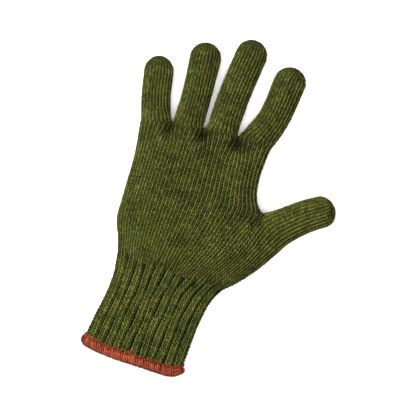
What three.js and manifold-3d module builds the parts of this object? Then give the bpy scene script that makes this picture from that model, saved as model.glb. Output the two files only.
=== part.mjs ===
// Knitted wool glove with a ribbed cuff and an overlocked edge, lying flat on a surface.
// Millimetres, +Z up, +Y from the cuff to the fingertips, +X to the thumb side.
// The underside rests on z = 0 and the origin is under the middle of the glove.
import * as THREE from "three";
import { mergeVertices } from "three/addons/utils/BufferGeometryUtils.js";
import Module from "manifold-3d";

const wasm = await Module();
wasm.setup();

// Knitted fabric
const wall = 2.4;
const nodeGap = 0.3;
const restSink = 1.5;
const sectionPower = 2.3;
const bowPower = 3;

// Ribs round the cuff, two wales up and two wales down
const ribCount = 24;
const ribDepth = 1.1;
const ribFadeLow = -66;
const ribFadeHigh = -48;

// Points round each kind of section
const cuffSides = 96;
const handSides = 48;
const hollowSides = 32;
const fingerSides = 24;
const fingerInnerSides = 16;
const edgeSides = 48;
const fineSteps = 720;

// The rounded end of a finger
const tipSteps = 4;
const tipPower = 2.05;
const tipStop = 0.985;

// The overlocked edge
const edgeHeight = 5.6;
const edgeProud = 0.7;
const edgeProfile = 8;
const edgeRounding = 0.7;

// Cuff and hand from the mouth to the finger roots: a row for each section,
// with its left and right ends, its thickness, how far its middle bows towards the wrist
// and how many sections are worked out between it and the next row.
const bodyRows = [
  { leftX: -66.6, leftY: -115, rightX: 8, rightY: -116.2, thick: 19, bow: 3.4, steps: 1 },
  { leftX: -63.4, leftY: -97, rightX: 8.8, rightY: -96, thick: 20, bow: 2, steps: 1 },
  { leftX: -60.1, leftY: -79, rightX: 10.2, rightY: -79, thick: 20, bow: 0.8, steps: 1 },
  { leftX: -59.9, leftY: -64, rightX: 13.6, rightY: -65, thick: 20, bow: 0, steps: 1 },
  { leftX: -61.6, leftY: -50, rightX: 20.5, rightY: -52.5, thick: 20.5, bow: 0, steps: 0 },
  { leftX: -63.6, leftY: -41, rightX: 27.5, rightY: -44.5, thick: 21.5, bow: 0, steps: 0 },
  { leftX: -69, leftY: -27, rightX: 33.5, rightY: -30, thick: 22, bow: 0, steps: 0 },
  { leftX: -69.6, leftY: -11, rightX: 34.5, rightY: -11, thick: 22, bow: 0, steps: 0 },
  { leftX: -69.8, leftY: 5, rightX: 30.2, rightY: 4.5, thick: 22, bow: 0, steps: 0 },
  { leftX: -70, leftY: 17, rightX: 23.6, rightY: 14, thick: 21.5, bow: 0, steps: 0 },
  { leftX: -71, leftY: 28.5, rightX: 20.9, rightY: 26.5, thick: 20, bow: 0, steps: 0 },
  { leftX: -72, leftY: 38, rightX: 21.1, rightY: 40, thick: 17.5, bow: 0, steps: 0 },
  { leftX: -71.6, leftY: 45, rightX: 22, rightY: 51, thick: 14, bow: 0, steps: 0 },
  { leftX: -69.5, leftY: 48.4, rightX: 20.6, rightY: 56.6, thick: 8.5, bow: 0, steps: 0 },
];
const cuffRows = bodyRows.slice(0, 6);
const handRows = bodyRows.slice(3);

// Thumb from the heel of the hand to where its tip starts to round
const thumbRows = [
  { leftX: -10, leftY: -47, rightX: 17.5, rightY: -56.5, thick: 17.5, steps: 1 },
  { leftX: 1, leftY: -32, rightX: 29.5, rightY: -42.6, thick: 19, steps: 1 },
  { leftX: 12, leftY: -17, rightX: 41.5, rightY: -29, thick: 19.5, steps: 1 },
  { leftX: 22.5, leftY: -3, rightX: 48, rightY: -19.2, thick: 18.5, steps: 1 },
  { leftX: 31.8, leftY: 7, rightX: 53.4, rightY: -10, thick: 17.2, steps: 1 },
  { leftX: 42.5, leftY: 15.2, rightX: 60.8, rightY: -1.8, thick: 16, steps: 1 },
  { leftX: 55.4, leftY: 25, rightX: 70, rightY: 6.6, thick: 15.4, steps: 1 },
  { leftX: 63.2, leftY: 29.6, rightX: 78.4, rightY: 12.2, thick: 15, steps: 0 },
];
const thumbTipLength = 10;

// Fingers: the middle line runs from the root inside the palm through the middle to the tip
const fingers = [
  {
    name: "little_finger",
    rootX: -60.8, rootY: 30, midX: -66.7, midY: 64, tipX: -73.2, tipY: 94.8,
    rootWidth: 21.8, midWidth: 21.2, tipWidth: 21.4, thick: 14.4,
  },
  {
    name: "ring_finger",
    rootX: -39.4, rootY: 30, midX: -39.7, midY: 72, tipX: -42.6, tipY: 113.6,
    rootWidth: 22.2, midWidth: 21.4, tipWidth: 22, thick: 14.8,
  },
  {
    name: "middle_finger",
    rootX: -17.8, rootY: 30, midX: -14, midY: 78, tipX: -9.4, tipY: 125.4,
    rootWidth: 22.8, midWidth: 22.2, tipWidth: 22.4, thick: 15,
  },
  {
    name: "index_finger",
    rootX: 6.8, rootY: 32, midX: 16.4, midY: 72, tipX: 23.2, tipY: 114.2,
    rootWidth: 25.2, midWidth: 22.8, tipWidth: 23.2, thick: 15,
  },
];
const fingerTipLength = 11.5;

// Where a finger starts inside the palm, at the height of the palm's middle
const buriedRun = 20;
const buriedScale = 0.6;
const palmMiddle = 9.5;

// The lines where one tube of knitting ends and the next begins, from web to web,
// and how much the gap between two fingers leans to the thumb side
const webs = {
  outside: { x: -90, y: 45.5 },
  littleRing: { x: -51.2, y: 49.4 },
  ringMiddle: { x: -27.9, y: 53.2 },
  middleIndex: { x: -1.6, y: 55.2 },
  inside: { x: 36, y: 51 },
};
const thumbWeb = { x: 31.7, y: 6.9 };
const thumbHeel = { x: 53, y: -19.5 };
const pastThumb = { low: { x: 150, y: -10 }, high: { x: 150, y: 60 }, above: { x: 34, y: 32 } };
const gapLean = { outside: -0.3, littleRing: -0.11, ringMiddle: 0.02, middleIndex: 0.13, inside: 0.3 };
const cuffTopLeft = { x: -90, y: -49 };
const cuffTopRight = { x: 40, y: -56.5 };

// Beyond everything, across and up
const farOut = 150;
const tall = 60;
const pastMouth = 20;

const wool = { color: 0x4a5024, roughness: 0.95, metalness: 0 };
const woolDark = { color: 0x444a22, roughness: 0.95, metalness: 0 };
const thread = { color: 0x8a442b, roughness: 0.85, metalness: 0 };

const mix = (a, b, t) => a + (b - a) * t;
const smooth = (low, high, value) => THREE.MathUtils.smoothstep(value, low, high);

// Points evenly spaced round a flattened oval, starting at its right end
function ovalPoints(halfWidth, halfThick, sides) {
  const at = (angle) => {
    const c = Math.cos(angle);
    const s = Math.sin(angle);
    const across = Math.sign(c) * Math.abs(c) ** (2 / sectionPower) * halfWidth;
    const up = Math.sign(s) * Math.abs(s) ** (2 / sectionPower) * halfThick;
    return { across, up };
  };
  const trail = [at(0)];
  const lengths = [0];
  for (let i = 1; i <= fineSteps; i += 1) {
    const next = at((2 * Math.PI * i) / fineSteps);
    const last = trail[i - 1];
    trail.push(next);
    lengths.push(lengths[i - 1] + Math.hypot(next.across - last.across, next.up - last.up));
  }
  const points = [];
  let step = 0;
  for (let i = 0; i < sides; i += 1) {
    const want = (lengths[fineSteps] * i) / sides;
    while (lengths[step + 1] < want) {
      step += 1;
    }
    const part = (want - lengths[step]) / (lengths[step + 1] - lengths[step]);
    points.push({
      across: mix(trail[step].across, trail[step + 1].across, part),
      up: mix(trail[step].up, trail[step + 1].up, part),
    });
  }
  return points;
}

// One section as a closed ring of points, taken in all round by inset
function ring(row, sides, inset, ribbed) {
  const spanX = row.rightX - row.leftX;
  const spanY = row.rightY - row.leftY;
  const width = Math.hypot(spanX, spanY);
  const acrossX = spanX / width;
  const acrossY = spanY / width;
  const halfWidth = width / 2 - inset;
  const halfThick = row.thick / 2 - inset;
  const middleX = (row.leftX + row.rightX) / 2;
  const middleY = (row.leftY + row.rightY) / 2;
  const middleZ = row.middleZ ?? row.thick / 2 - restSink + (row.lift ?? 0);
  const ribbing = ribbed ? ribDepth * (1 - smooth(ribFadeLow, ribFadeHigh, middleY)) : 0;
  return ovalPoints(halfWidth, halfThick, sides).map((point, i) => {
    const dip = ribbing * (0.5 - 0.5 * Math.cos((2 * Math.PI * ribCount * i) / sides));
    const share = point.across / halfWidth;
    const across = point.across - dip * share;
    const up = point.up * (1 - dip / halfThick);
    const bow = (row.bow ?? 0) * (1 - Math.abs(share) ** bowPower);
    return new THREE.Vector3(
      middleX + acrossX * across + acrossY * bow,
      middleY + acrossY * across - acrossX * bow,
      middleZ + up,
    );
  });
}

// Rows between the given ones, on smooth curves through them
function smoothRows(rows) {
  const named = ["leftX", "leftY", "rightX", "rightY", "thick", "bow", "lift"];
  const out = [];
  rows.forEach((row, i) => {
    const steps = row.steps + 1;
    const before = rows[Math.max(i - 1, 0)];
    const after = rows[Math.min(i + 1, rows.length - 1)];
    const beyond = rows[Math.min(i + 2, rows.length - 1)];
    for (let k = 0; k < (i < rows.length - 1 ? steps : 1); k += 1) {
      const t = k / steps;
      const between = {};
      named.forEach((key) => {
        const [a, b, c, d] = [before, row, after, beyond].map((one) => one[key] ?? 0);
        const bend = 2 * a - 5 * b + 4 * c - d;
        const twist = 3 * b - a - 3 * c + d;
        between[key] = b + 0.5 * t * (c - a + t * (bend + t * twist));
      });
      out.push(between);
    }
  });
  return out;
}

// Smaller and smaller rows beyond the last one, which round off a fingertip
function roundedEnd(last, length) {
  const spanX = last.rightX - last.leftX;
  const spanY = last.rightY - last.leftY;
  const width = Math.hypot(spanX, spanY);
  const aheadX = -spanY / width;
  const aheadY = spanX / width;
  const middleZ = last.thick / 2 - restSink;
  const rows = [];
  for (let i = 1; i <= tipSteps; i += 1) {
    const t = Math.min(Math.sin((Math.PI / 2) * (i / tipSteps)), tipStop);
    const scale = (1 - t ** tipPower) ** (1 / tipPower);
    const half = (scale * width) / 2;
    const middleX = (last.leftX + last.rightX) / 2 + aheadX * length * t;
    const middleY = (last.leftY + last.rightY) / 2 + aheadY * length * t;
    rows.push({
      leftX: middleX - (spanX / width) * half,
      leftY: middleY - (spanY / width) * half,
      rightX: middleX + (spanX / width) * half,
      rightY: middleY + (spanY / width) * half,
      thick: last.thick * scale,
      middleZ,
      scale,
    });
  }
  return rows;
}

// The section rows of one finger, from its middle line and widths
function fingerRows(finger) {
  const { rootX, rootY, midX, midY, tipX, tipY } = finger;
  const tipRun = Math.hypot(tipX - midX, tipY - midY);
  const shoulder = 1 - fingerTipLength / tipRun;
  const shoulderX = mix(midX, tipX, shoulder);
  const shoulderY = mix(midY, tipY, shoulder);
  const stations = [
    { x: rootX, y: rootY, aimX: midX - rootX, aimY: midY - rootY, width: finger.rootWidth },
    { x: midX, y: midY, aimX: tipX - rootX, aimY: tipY - rootY, width: finger.midWidth },
    { x: shoulderX, y: shoulderY, aimX: tipX - midX, aimY: tipY - midY, width: finger.tipWidth },
  ];
  const rows = stations.map(({ x, y, aimX, aimY, width }, i) => {
    const run = Math.hypot(aimX, aimY);
    const sideX = ((aimY / run) * width) / 2;
    const sideY = ((-aimX / run) * width) / 2;
    return {
      leftX: x - sideX,
      leftY: y - sideY,
      rightX: x + sideX,
      rightY: y + sideY,
      thick: finger.thick,
      steps: i < 2 ? 2 : 0,
    };
  });
  return [buriedStart(rows[0]), ...rows];
}

// A smaller row further back inside the palm, so that the finger grows out of it without a step
function buriedStart(root) {
  const spanX = root.rightX - root.leftX;
  const spanY = root.rightY - root.leftY;
  const width = Math.hypot(spanX, spanY);
  const middleX = (root.leftX + root.rightX) / 2 + (spanY / width) * buriedRun;
  const middleY = (root.leftY + root.rightY) / 2 - (spanX / width) * buriedRun;
  const reach = buriedScale / 2;
  const thick = root.thick * buriedScale;
  return {
    leftX: middleX - spanX * reach,
    leftY: middleY - spanY * reach,
    rightX: middleX + spanX * reach,
    rightY: middleY + spanY * reach,
    thick,
    lift: palmMiddle - thick / 2 + restSink,
    steps: 1,
  };
}

// A solid from a list of rings, closed by a fan at each end
function loft(rings) {
  const sides = rings[0].length;
  const points = [];
  rings.forEach((one) => one.forEach((p) => points.push(p.x, p.y, p.z)));
  const faces = [];
  for (let r = 0; r + 1 < rings.length; r += 1) {
    for (let i = 0; i < sides; i += 1) {
      const j = (i + 1) % sides;
      const a = r * sides + i;
      const b = r * sides + j;
      faces.push(a, a + sides, b, b, a + sides, b + sides);
    }
  }
  [0, rings.length - 1].forEach((r) => {
    const middle = new THREE.Vector3();
    rings[r].forEach((p) => middle.addScaledVector(p, 1 / sides));
    const centre = points.length / 3;
    points.push(middle.x, middle.y, middle.z);
    for (let i = 0; i < sides; i += 1) {
      const a = r * sides + i;
      const b = r * sides + ((i + 1) % sides);
      faces.push(centre, ...(r === 0 ? [a, b] : [b, a]));
    }
  });
  return solid(points, faces);
}

// A solid body for joining and cutting
function solid(points, faces) {
  const mesh = new wasm.Mesh({
    numProp: 3,
    vertProperties: new Float32Array(points),
    triVerts: new Uint32Array(faces),
  });
  return new wasm.Manifold(mesh);
}

// A three.js geometry as a solid body
function solidOf(geometry) {
  geometry.deleteAttribute("normal");
  geometry.deleteAttribute("uv");
  const merged = mergeVertices(geometry);
  return solid(merged.attributes.position.array, merged.index.array);
}

// An upright prism over a plan outline
function prism(corners, low, high) {
  const shape = new THREE.Shape(corners.map(({ x, y }) => new THREE.Vector2(x, y)));
  const geometry = new THREE.ExtrudeGeometry(shape, { depth: high - low, bevelEnabled: false });
  return solidOf(geometry.translate(0, 0, low));
}

// A convex outline, counter-clockwise, with every side moved inwards
function inset(corners, distance) {
  const lines = corners.map((a, i) => {
    const b = corners[(i + 1) % corners.length];
    const run = Math.hypot(b.x - a.x, b.y - a.y);
    const normal = { x: -(b.y - a.y) / run, y: (b.x - a.x) / run };
    return { normal, reach: normal.x * a.x + normal.y * a.y + distance };
  });
  return lines.map((line, i) => {
    const before = lines[(i + lines.length - 1) % lines.length];
    const cross = before.normal.x * line.normal.y - before.normal.y * line.normal.x;
    return {
      x: (before.reach * line.normal.y - line.reach * before.normal.y) / cross,
      y: (before.normal.x * line.reach - line.normal.x * before.reach) / cross,
    };
  });
}

// The rings of the cuff or the hand, and of a finger or the thumb, at a depth from the outside
function bodyRings(rows, sides, depth, ribbed) {
  return smoothRows(rows).map((row) => ring(row, sides, depth, ribbed));
}

function digitRings(rows, tipLength, sides, depth) {
  const trunk = smoothRows(rows);
  const tip = roundedEnd(trunk.at(-1), tipLength);
  return [
    ...trunk.map((row) => ring(row, sides, depth, false)),
    ...tip.map((row) => ring(row, sides, depth * row.scale, false)),
  ];
}

// The mouth section carried straight on past the end of the cuff, so that the hollow is open
function mouthExtension(sides, depth) {
  const mouth = bodyRows[0];
  const further = { ...mouth, leftY: mouth.leftY - pastMouth, rightY: mouth.rightY - pastMouth };
  return ring(further, sides, depth, false);
}

function cuffShell() {
  const outer = loft(bodyRings(cuffRows, cuffSides, 0, true));
  const mouth = mouthExtension(hollowSides, wall);
  const inner = loft([mouth, ...bodyRings(cuffRows, hollowSides, wall, false)]);
  return hollowed(outer, inner);
}

function handShell() {
  let outer = loft(bodyRings(handRows, handSides, 0, false));
  let inner = loft(bodyRings(handRows, hollowSides, wall, false).slice(0, -1));
  const digits = fingers.map((finger) => ({ rows: fingerRows(finger), length: fingerTipLength }));
  digits.push({ rows: [buriedStart(thumbRows[0]), ...thumbRows], length: thumbTipLength });
  digits.forEach(({ rows, length }) => {
    outer = outer.add(loft(digitRings(rows, length, fingerSides, 0)));
    inner = inner.add(loft(digitRings(rows, length - wall, fingerInnerSides, wall)));
  });
  return hollowed(outer, inner);
}

// The space inside is taken out, and the underside is flat where it rests
function hollowed(outer, inner) {
  const aboveFloor = prism(square(farOut), 0, tall);
  const aboveFabric = prism(square(farOut), wall, tall);
  return outer.intersect(aboveFloor).subtract(inner.intersect(aboveFabric));
}

function square(half) {
  return [
    { x: -half, y: -half },
    { x: half, y: -half },
    { x: half, y: half },
    { x: -half, y: half },
  ];
}

// Plan outlines that part the fingers, the thumb and the cuff from the hand
function digitOutlines() {
  const above = (web) => ({ x: webs[web].x + gapLean[web] * farOut, y: webs[web].y + farOut });
  const between = (left, right) => [webs[left], webs[right], above(right), above(left)];
  return {
    little_finger: between("outside", "littleRing"),
    ring_finger: between("littleRing", "ringMiddle"),
    middle_finger: between("ringMiddle", "middleIndex"),
    index_finger: between("middleIndex", "inside"),
    thumb: [thumbWeb, thumbHeel, pastThumb.low, pastThumb.high, pastThumb.above],
  };
}

function cuffOutline() {
  const low = -farOut;
  return [{ x: cuffTopLeft.x, y: low }, { x: cuffTopRight.x, y: low }, cuffTopRight, cuffTopLeft];
}

function knitNodes() {
  const cuff = cuffShell().intersect(prism(inset(cuffOutline(), nodeGap / 2), -tall, tall));
  const shell = handShell();
  const nodes = { cuff };
  let hand = shell.subtract(prism(inset(cuffOutline(), -nodeGap / 2), -tall, tall));
  Object.entries(digitOutlines()).forEach(([name, corners]) => {
    nodes[name] = shell.intersect(prism(inset(corners, nodeGap / 2), -tall, tall));
    hand = hand.subtract(prism(inset(corners, -nodeGap / 2), -tall, tall));
  });
  nodes.hand = hand;
  return nodes;
}

// The overlocked edge: a rounded band of thread beyond the end of the cuff
function edgeNode() {
  const mouth = bodyRows[0];
  const points = [];
  const faces = [];
  const rings = [];
  for (let k = 0; k < edgeProfile; k += 1) {
    const angle = (2 * Math.PI * k) / edgeProfile;
    const c = Math.cos(angle);
    const s = Math.sin(angle);
    const along = Math.sign(c) * Math.abs(c) ** edgeRounding * (edgeHeight / 2);
    const outward = Math.sign(s) * Math.abs(s) ** edgeRounding * (wall / 2 + edgeProud);
    const drop = edgeHeight / 2 + nodeGap - along;
    const row = { ...mouth, leftY: mouth.leftY - drop, rightY: mouth.rightY - drop };
    rings.push(ring(row, edgeSides, wall / 2 - outward, false));
  }
  rings.forEach((one) => one.forEach((p) => points.push(p.x, p.y, Math.max(p.z, 0))));
  for (let k = 0; k < edgeProfile; k += 1) {
    const next = (k + 1) % edgeProfile;
    for (let i = 0; i < edgeSides; i += 1) {
      const j = (i + 1) % edgeSides;
      const a = k * edgeSides + i;
      const b = k * edgeSides + j;
      const c = next * edgeSides + i;
      const d = next * edgeSides + j;
      faces.push(a, b, c, b, d, c);
    }
  }
  return solid(points, faces);
}

function meshOf(body, name, finish) {
  const { vertProperties, triVerts, numProp } = body.getMesh();
  const geometry = new THREE.BufferGeometry();
  geometry.setAttribute("position", new THREE.BufferAttribute(vertProperties, numProp));
  geometry.setIndex(new THREE.BufferAttribute(triVerts, 1));
  const mesh = new THREE.Mesh(geometry, new THREE.MeshStandardMaterial(finish));
  mesh.name = name;
  return mesh;
}

const glove = new THREE.Group();
Object.entries(knitNodes()).forEach(([name, body]) => {
  glove.add(meshOf(body, name, name === "cuff" ? woolDark : wool));
});
glove.add(meshOf(edgeNode(), "cuff_edge", thread));

export default glove;
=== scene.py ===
import math
import bpy
import numpy as np
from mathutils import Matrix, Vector


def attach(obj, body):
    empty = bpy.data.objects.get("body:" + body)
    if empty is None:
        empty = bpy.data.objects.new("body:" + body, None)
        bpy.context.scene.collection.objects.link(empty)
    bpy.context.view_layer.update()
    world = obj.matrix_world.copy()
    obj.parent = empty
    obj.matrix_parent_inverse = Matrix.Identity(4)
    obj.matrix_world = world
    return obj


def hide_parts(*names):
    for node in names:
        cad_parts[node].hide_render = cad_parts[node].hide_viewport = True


# A machine knitted wool glove lying flat. Every loop of its yarn is modelled: the stockinette of
# the hand and fingers, the two by two ribs of the cuff and the wrapped thread of the overlocked edge.
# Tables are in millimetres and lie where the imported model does. They turn to metres in the meshes.

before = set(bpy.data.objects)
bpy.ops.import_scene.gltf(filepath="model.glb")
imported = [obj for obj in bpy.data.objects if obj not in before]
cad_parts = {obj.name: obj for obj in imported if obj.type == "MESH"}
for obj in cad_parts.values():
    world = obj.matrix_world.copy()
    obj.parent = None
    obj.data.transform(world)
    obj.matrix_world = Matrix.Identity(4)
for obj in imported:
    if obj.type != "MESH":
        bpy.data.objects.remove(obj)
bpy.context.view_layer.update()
mm = 0.001
rng = np.random.default_rng(7)

# The photograph's frame: the glove lies turned by 17 degrees in it
photo = {"mmPerPixel": 0.72, "pixels": 416, "turn": 17.0, "middleX": -8.25, "middleY": -0.33}
camera = {"lens": 120.0, "sensor": 36.0, "aimHeight": 10.0}

cameraData = bpy.data.cameras.new("camera")
cameraData.lens = camera["lens"]
cameraData.sensor_width = camera["sensor"]
cameraItem = bpy.data.objects.new("camera", cameraData)
bpy.context.scene.collection.objects.link(cameraItem)
width = photo["mmPerPixel"] * photo["pixels"]
distance = width * camera["lens"] / camera["sensor"]
cameraItem.location = Vector((photo["middleX"], photo["middleY"], camera["aimHeight"] + distance)) * mm
cameraItem.rotation_euler = (0, 0, math.radians(photo["turn"]))
bpy.context.scene.camera = cameraItem

knit = {
    "layer": 0.8,           # from the outside of the fabric to the middle of its loops
    "yarnRadius": 0.5,
    "ribYarn": 0.6,         # the cuff's yarn lies looser and looks thicker
    "thickThin": 0.12,      # how uneven the spun yarn is
    "sunkThin": 0.32,       # how much thinner it looks in the sunk wales of the ribs
    "fullPitch": 2.6,       # the width of a wale in which the yarn has its whole thickness
    "loopDepth": 0.52,      # how far a loop's legs stand out and its head lies back
    "loopLean": 0.25,       # how far the head widens over the foot, in wales
    "ribLean": 0.3,
    "loopReach": 0.69,      # how far a loop reaches up and down, in courses
    "gather": 0.2,          # how much the two legs of a loop draw together on the hand,
    "ribGather": 0.1,       # in the cuff,
    "tubeGather": 0.34,     # and in the fingers and the thumb
    "twist": 0.3,           # the yarn's twist lifts each loop's left leg over its right one
    "wobble": (0.035, 0.05, 0.05),   # unevenness across, along and out
    "restSink": 1.5,        # how far the glove sinks down on the floor by its own weight
    "restSoft": 0.35,       # and how softly its lower side turns flat there
    "reliefFrom": 1.5,      # dents and waves end at its sides, between these heights
    "reliefTo": 7,
    "dipShade": 0.16,       # how much of a dip counts as depth for the painted shade
    "dentShade": 0.45,      # and how much of a dent counts as a dip
    "sectionPower": 2.3,    # 2 is an oval and more is squarer
    "bowPower": 3.0,
}

# Courses are the rows of loops, counted from the mouth. Wales are the columns, counted from the
# little finger's side, and each side of the glove has the same number.
cuffTop = 27
thumbRoot = 56
fingerRoot = 81
fingerWales = 9
thumbWales = 12
gussetWales = 1.5  # more of them open at each side of a finger, from the web on
allWales = 4 * fingerWales + thumbWales
courseHeight = 1.85
tipCourses = 9
tipSweep = math.radians(80)
tipPower = 2.05

# Two by two ribs
ribs = {
    "wales": 4,
    "face": 0.8,            # how much of a rib its two raised wales take
    "turn": 0.15,           # how soon, in wales, the yarn passes from the raised ones to the sunk ones
    "depth": 4.5,
    "roundness": 3.2,
    "fadeFrom": 25.0,
    "fadeTo": 32.0,
}

# Sections of the cuff and the heel of the hand: course, left end, the line between palm and thumb,
# right end, thickness, how far the middle bows towards the wrist, and where the wales lie that run
# to the three webs
bodyColumns = "course leftX leftY borderX borderY rightX rightY thick bow line1 line2 line3".split()
bodyRows = [
    (0.0, -66.6, -115.0, -10.6, -115.9, 8.0, -116.2, 19.0, 3.4, -54.1, -39.7, -25.2),
    (8.0, -63.9, -97.0, -9.3, -96.2, 9.2, -96.0, 20.0, 2.0, -51.9, -37.8, -23.5),
    (15.5, -60.7, -79.0, -7.4, -79.0, 10.7, -79.0, 20.0, 0.8, -49.3, -35.4, -21.3),
    (21.8, -59.9, -64.0, -4.4, -64.8, 13.6, -65.0, 20.0, 0.0, -48.1, -33.7, -19.0),
    (27.0, -61.6, -50.5, 1.0, -53.6, 18.8, -54.6, 20.5, 0.0, -48.5, -32.6, -15.8),
    (33.0, -63.9, -40.0, 7.8, -42.6, 27.8, -45.9, 21.2, 0.0, -49.8, -31.6, -11.6),
    (40.0, -68.9, -27.0, 16.2, -29.0, 37.3, -34.9, 21.6, 0.0, -51.2, -30.4, -6.6),
    (48.0, -69.6, -12.0, 23.4, -10.6, 46.6, -21.6, 21.6, 0.0, -51.7, -29.0, -1.8),
    (56.0, -69.8, 4.5, 31.7, 7.0, 53.4, -9.8, 21.2, 0.0, -51.5, -28.0, 1.0),
]

# Sections of the palm above the thumb
palmColumns = "course leftX leftY rightX rightY thick line1 line2 line3".split()
palmRows = [
    (56.0, -69.8, 4.5, 31.7, 7.0, 21.2, -51.5, -28.0, 1.0),
    (58.5, -69.9, 9.5, 26.8, 10.6, 20.9, -51.5, -27.9, 0.8),
    (62.5, -70.0, 17.0, 23.8, 16.6, 20.3, -51.4, -27.9, 0.2),
    (68.5, -71.0, 28.5, 21.7, 28.0, 19.0, -51.4, -27.9, -0.8),
    (75.0, -72.6, 40.0, 22.0, 41.6, 17.2, -51.3, -27.9, -1.5),
    (81.0, -73.4, 47.4, 22.8, 54.4, 15.2, -51.3, -27.9, -1.6),
]

# Webs between the fingers, from the little finger's side
webs = [(-51.3, 49.6), (-27.9, 53.4), (-1.6, 55.2)]
web = {
    "round": 4.0,           # how soon past the web a finger has its whole width
    "reach": 9.5,           # over how many courses below it the palm draws in, and the heel of the hand
    "thumbReach": 10.0,
    "gussetFrom": 0.08,     # a gusset's wales start as narrow as this
    "gussetLong": 12,       # and are as wide as the rest here
    "thickLong": 9,
    "thumbJoin": 3,
}
# The wales turn the corner from palm to thumb in a curve: over how many half courses each is eased,
# and how far that reaches up and down the hand and stays off the strip's left and right edge
corner = {"span": 14, "spread": 7, "reach": 9, "offLeft": 2.5, "offRight": 2}

# Fingers: middle line, widths and thickness, from the webs to the tip
fingers = {
    "little_finger": {"midX": -67.3, "midY": 64.0, "tipX": -73.2, "tipY": 94.8,
                      "rootWidth": 21.8, "midWidth": 21.2, "tipWidth": 21.4, "thick": 14.4},
    "ring_finger": {"midX": -39.7, "midY": 72.0, "tipX": -42.3, "tipY": 113.9,
                    "rootWidth": 22.0, "midWidth": 21.4, "tipWidth": 22.8, "thick": 14.8},
    "middle_finger": {"midX": -14.1, "midY": 78.0, "tipX": -9.4, "tipY": 125.4,
                      "rootWidth": 22.4, "midWidth": 22.6, "tipWidth": 22.9, "thick": 15.0},
    "index_finger": {"midX": 17.4, "midY": 71.6, "tipX": 23.6, "tipY": 114.5,
                     "rootWidth": 23.8, "midWidth": 22.8, "tipWidth": 23.2, "thick": 15.0},
}
fingerTip = 11.5

# Thumb, from its root to where its tip starts to round
thumbColumns = "course leftX leftY rightX rightY thick".split()
thumbRows = [
    (56.0, 31.7, 7.0, 53.4, -9.8, 17.6),
    (62.6, 42.5, 15.2, 60.8, -1.8, 16.2),
    (70.3, 55.4, 25.0, 70.2, 6.5, 15.4),
    (75.5, 63.2, 29.6, 78.5, 12.1, 15.0),
]
thumbTip = 10.0


def mix(a, b, t):
    return a + (b - a) * t


def smooth(low, high, value):
    t = np.clip((value - low) / (high - low), 0, 1)
    return t * t * (3 - 2 * t)


def smoothTable(columns, rows, at):  # every column on a smooth curve through its rows
    data = np.array(rows, float)
    keys = data[:, 0]
    slopes = np.gradient(data, keys, axis=0)
    inside = np.clip(at, keys[0], keys[-1])
    k = np.clip(np.searchsorted(keys, inside, side="right") - 1, 0, len(keys) - 2)
    gap = (keys[k + 1] - keys[k])[:, None]
    t = (inside - keys[k])[:, None] / gap
    start = data[k] * (1 + 2 * t) + slopes[k] * gap * t
    end = data[k + 1] * (3 - 2 * t) - slopes[k + 1] * gap * (1 - t)
    values = start * (1 - t) ** 2 + end * t * t
    beyond = (at - inside)[:, None]
    values += beyond * np.where(beyond < 0, slopes[0], slopes[-1])
    return [dict(zip(columns, row)) for row in values]


# Sections

arcAngle = np.linspace(math.pi, 0, 241)


def ovalArc(halfWidth, halfThick):  # the upper half of a flattened oval, by share of its length
    c = np.cos(arcAngle)
    s = np.sin(arcAngle).clip(0)
    across = np.sign(c) * np.abs(c) ** (2 / knit["sectionPower"]) * halfWidth
    up = s ** (2 / knit["sectionPower"]) * halfThick
    run = np.concatenate([[0], np.cumsum(np.hypot(np.diff(across), np.diff(up)))])
    return across, up, run / run[-1]


# A tube between two ends. Where it joins its neighbour, its fabric reaches all the way to that end
def ownSection(left, right, thick, middleZ, wales, keys, spots, under, joins, shares=None):
    left, right = np.array(left), np.array(right)
    half = np.linalg.norm(right - left) / 2
    trim = min(knit["layer"], half * 0.45, thick * 0.45)
    across, up, part = ovalArc(half - trim, thick / 2 - trim)
    if shares is None:
        shares = waleShares(wales, keys, spots, across, part)
    a = np.interp(shares, part, across)
    reach = half - trim * (1 - np.where(a < 0, *joins))
    plan = (left + right) / 2 + (right - left) * (a / (half - trim) * reach / half / 2)[:, None]
    height = np.interp(shares, part, up)
    return np.column_stack([plan, middleZ + (-height if under else height)])


def waleShares(wales, keys, spots, across, part):  # spots are where the wales between the ends lie
    return np.interp(wales, keys, np.concatenate([[0], np.interp(spots, across, part), [1]]))


def lineSpots(row, start, end, run):  # the wales that run to the webs, along a section of the palm
    return [(row[k] - start) / (end - start) * run for k in ("line1", "line2", "line3")]


def bodySection(row, wales, under):  # the whole way across cuff or heel, bent at the thumb's line
    left = np.array([row["leftX"], row["leftY"]])
    border = np.array([row["borderX"], row["borderY"]])
    right = np.array([row["rightX"], row["rightY"]])
    run = np.linalg.norm(border - left)
    rest = np.linalg.norm(right - border)
    half = (run + rest) / 2
    across, up, part = ovalArc(half - knit["layer"], row["thick"] / 2 - knit["layer"])
    spots = np.array([*lineSpots(row, row["leftX"], row["borderX"], run), run]) - half
    shares = waleShares(wales, [*np.arange(5) * fingerWales, allWales], spots, across, part)
    a = np.interp(shares, part, across)
    d = (a + half)[:, None]
    toBorder = left + (border - left) * d / run
    beyond = border + (right - border) * (d - run) / rest
    plan = np.where(d < run, toBorder, beyond)
    ahead = (right - left) / np.linalg.norm(right - left)
    bow = row["bow"] * (1 - np.abs(a / half) ** knit["bowPower"])
    plan = plan + np.outer(bow, [ahead[1], -ahead[0]])
    height = np.interp(shares, part, up)
    middleZ = row["thick"] / 2 - knit["restSink"]
    return np.column_stack([plan, middleZ + (-height if under else height)])


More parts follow.
